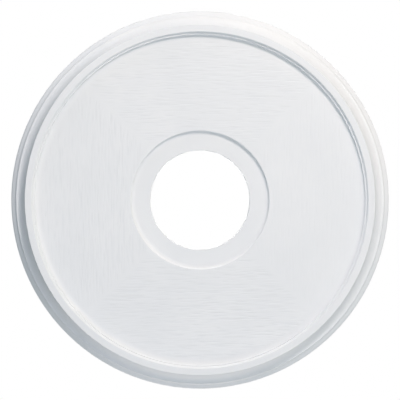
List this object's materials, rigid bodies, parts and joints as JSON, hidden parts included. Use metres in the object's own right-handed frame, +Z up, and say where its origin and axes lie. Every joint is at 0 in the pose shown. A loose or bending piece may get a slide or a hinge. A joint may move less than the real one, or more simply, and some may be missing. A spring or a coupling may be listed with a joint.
{
  "type": "ceiling rose",
  "caption": "Round moulded ceiling rose with a stepped rim, a sunk wood-grained face, a shallow canopy recess and a central lamp hole.",
  "frame": {"origin": "centre of the back face, on the ceiling plane", "axes": "+Z up into the ceiling, so the moulded face looks down along -Z; the rose is turned about Z, and the grain runs along X and Y in four mitred quarters"},
  "size_m": [0.3999, 0.4, 0.025],
  "materials": {
    "white_moulding": "white primed, low sheen"
  },
  "bodies": {
    "root": {"ceiling_rose": "white_moulding"}
  },
  "joints": []
}
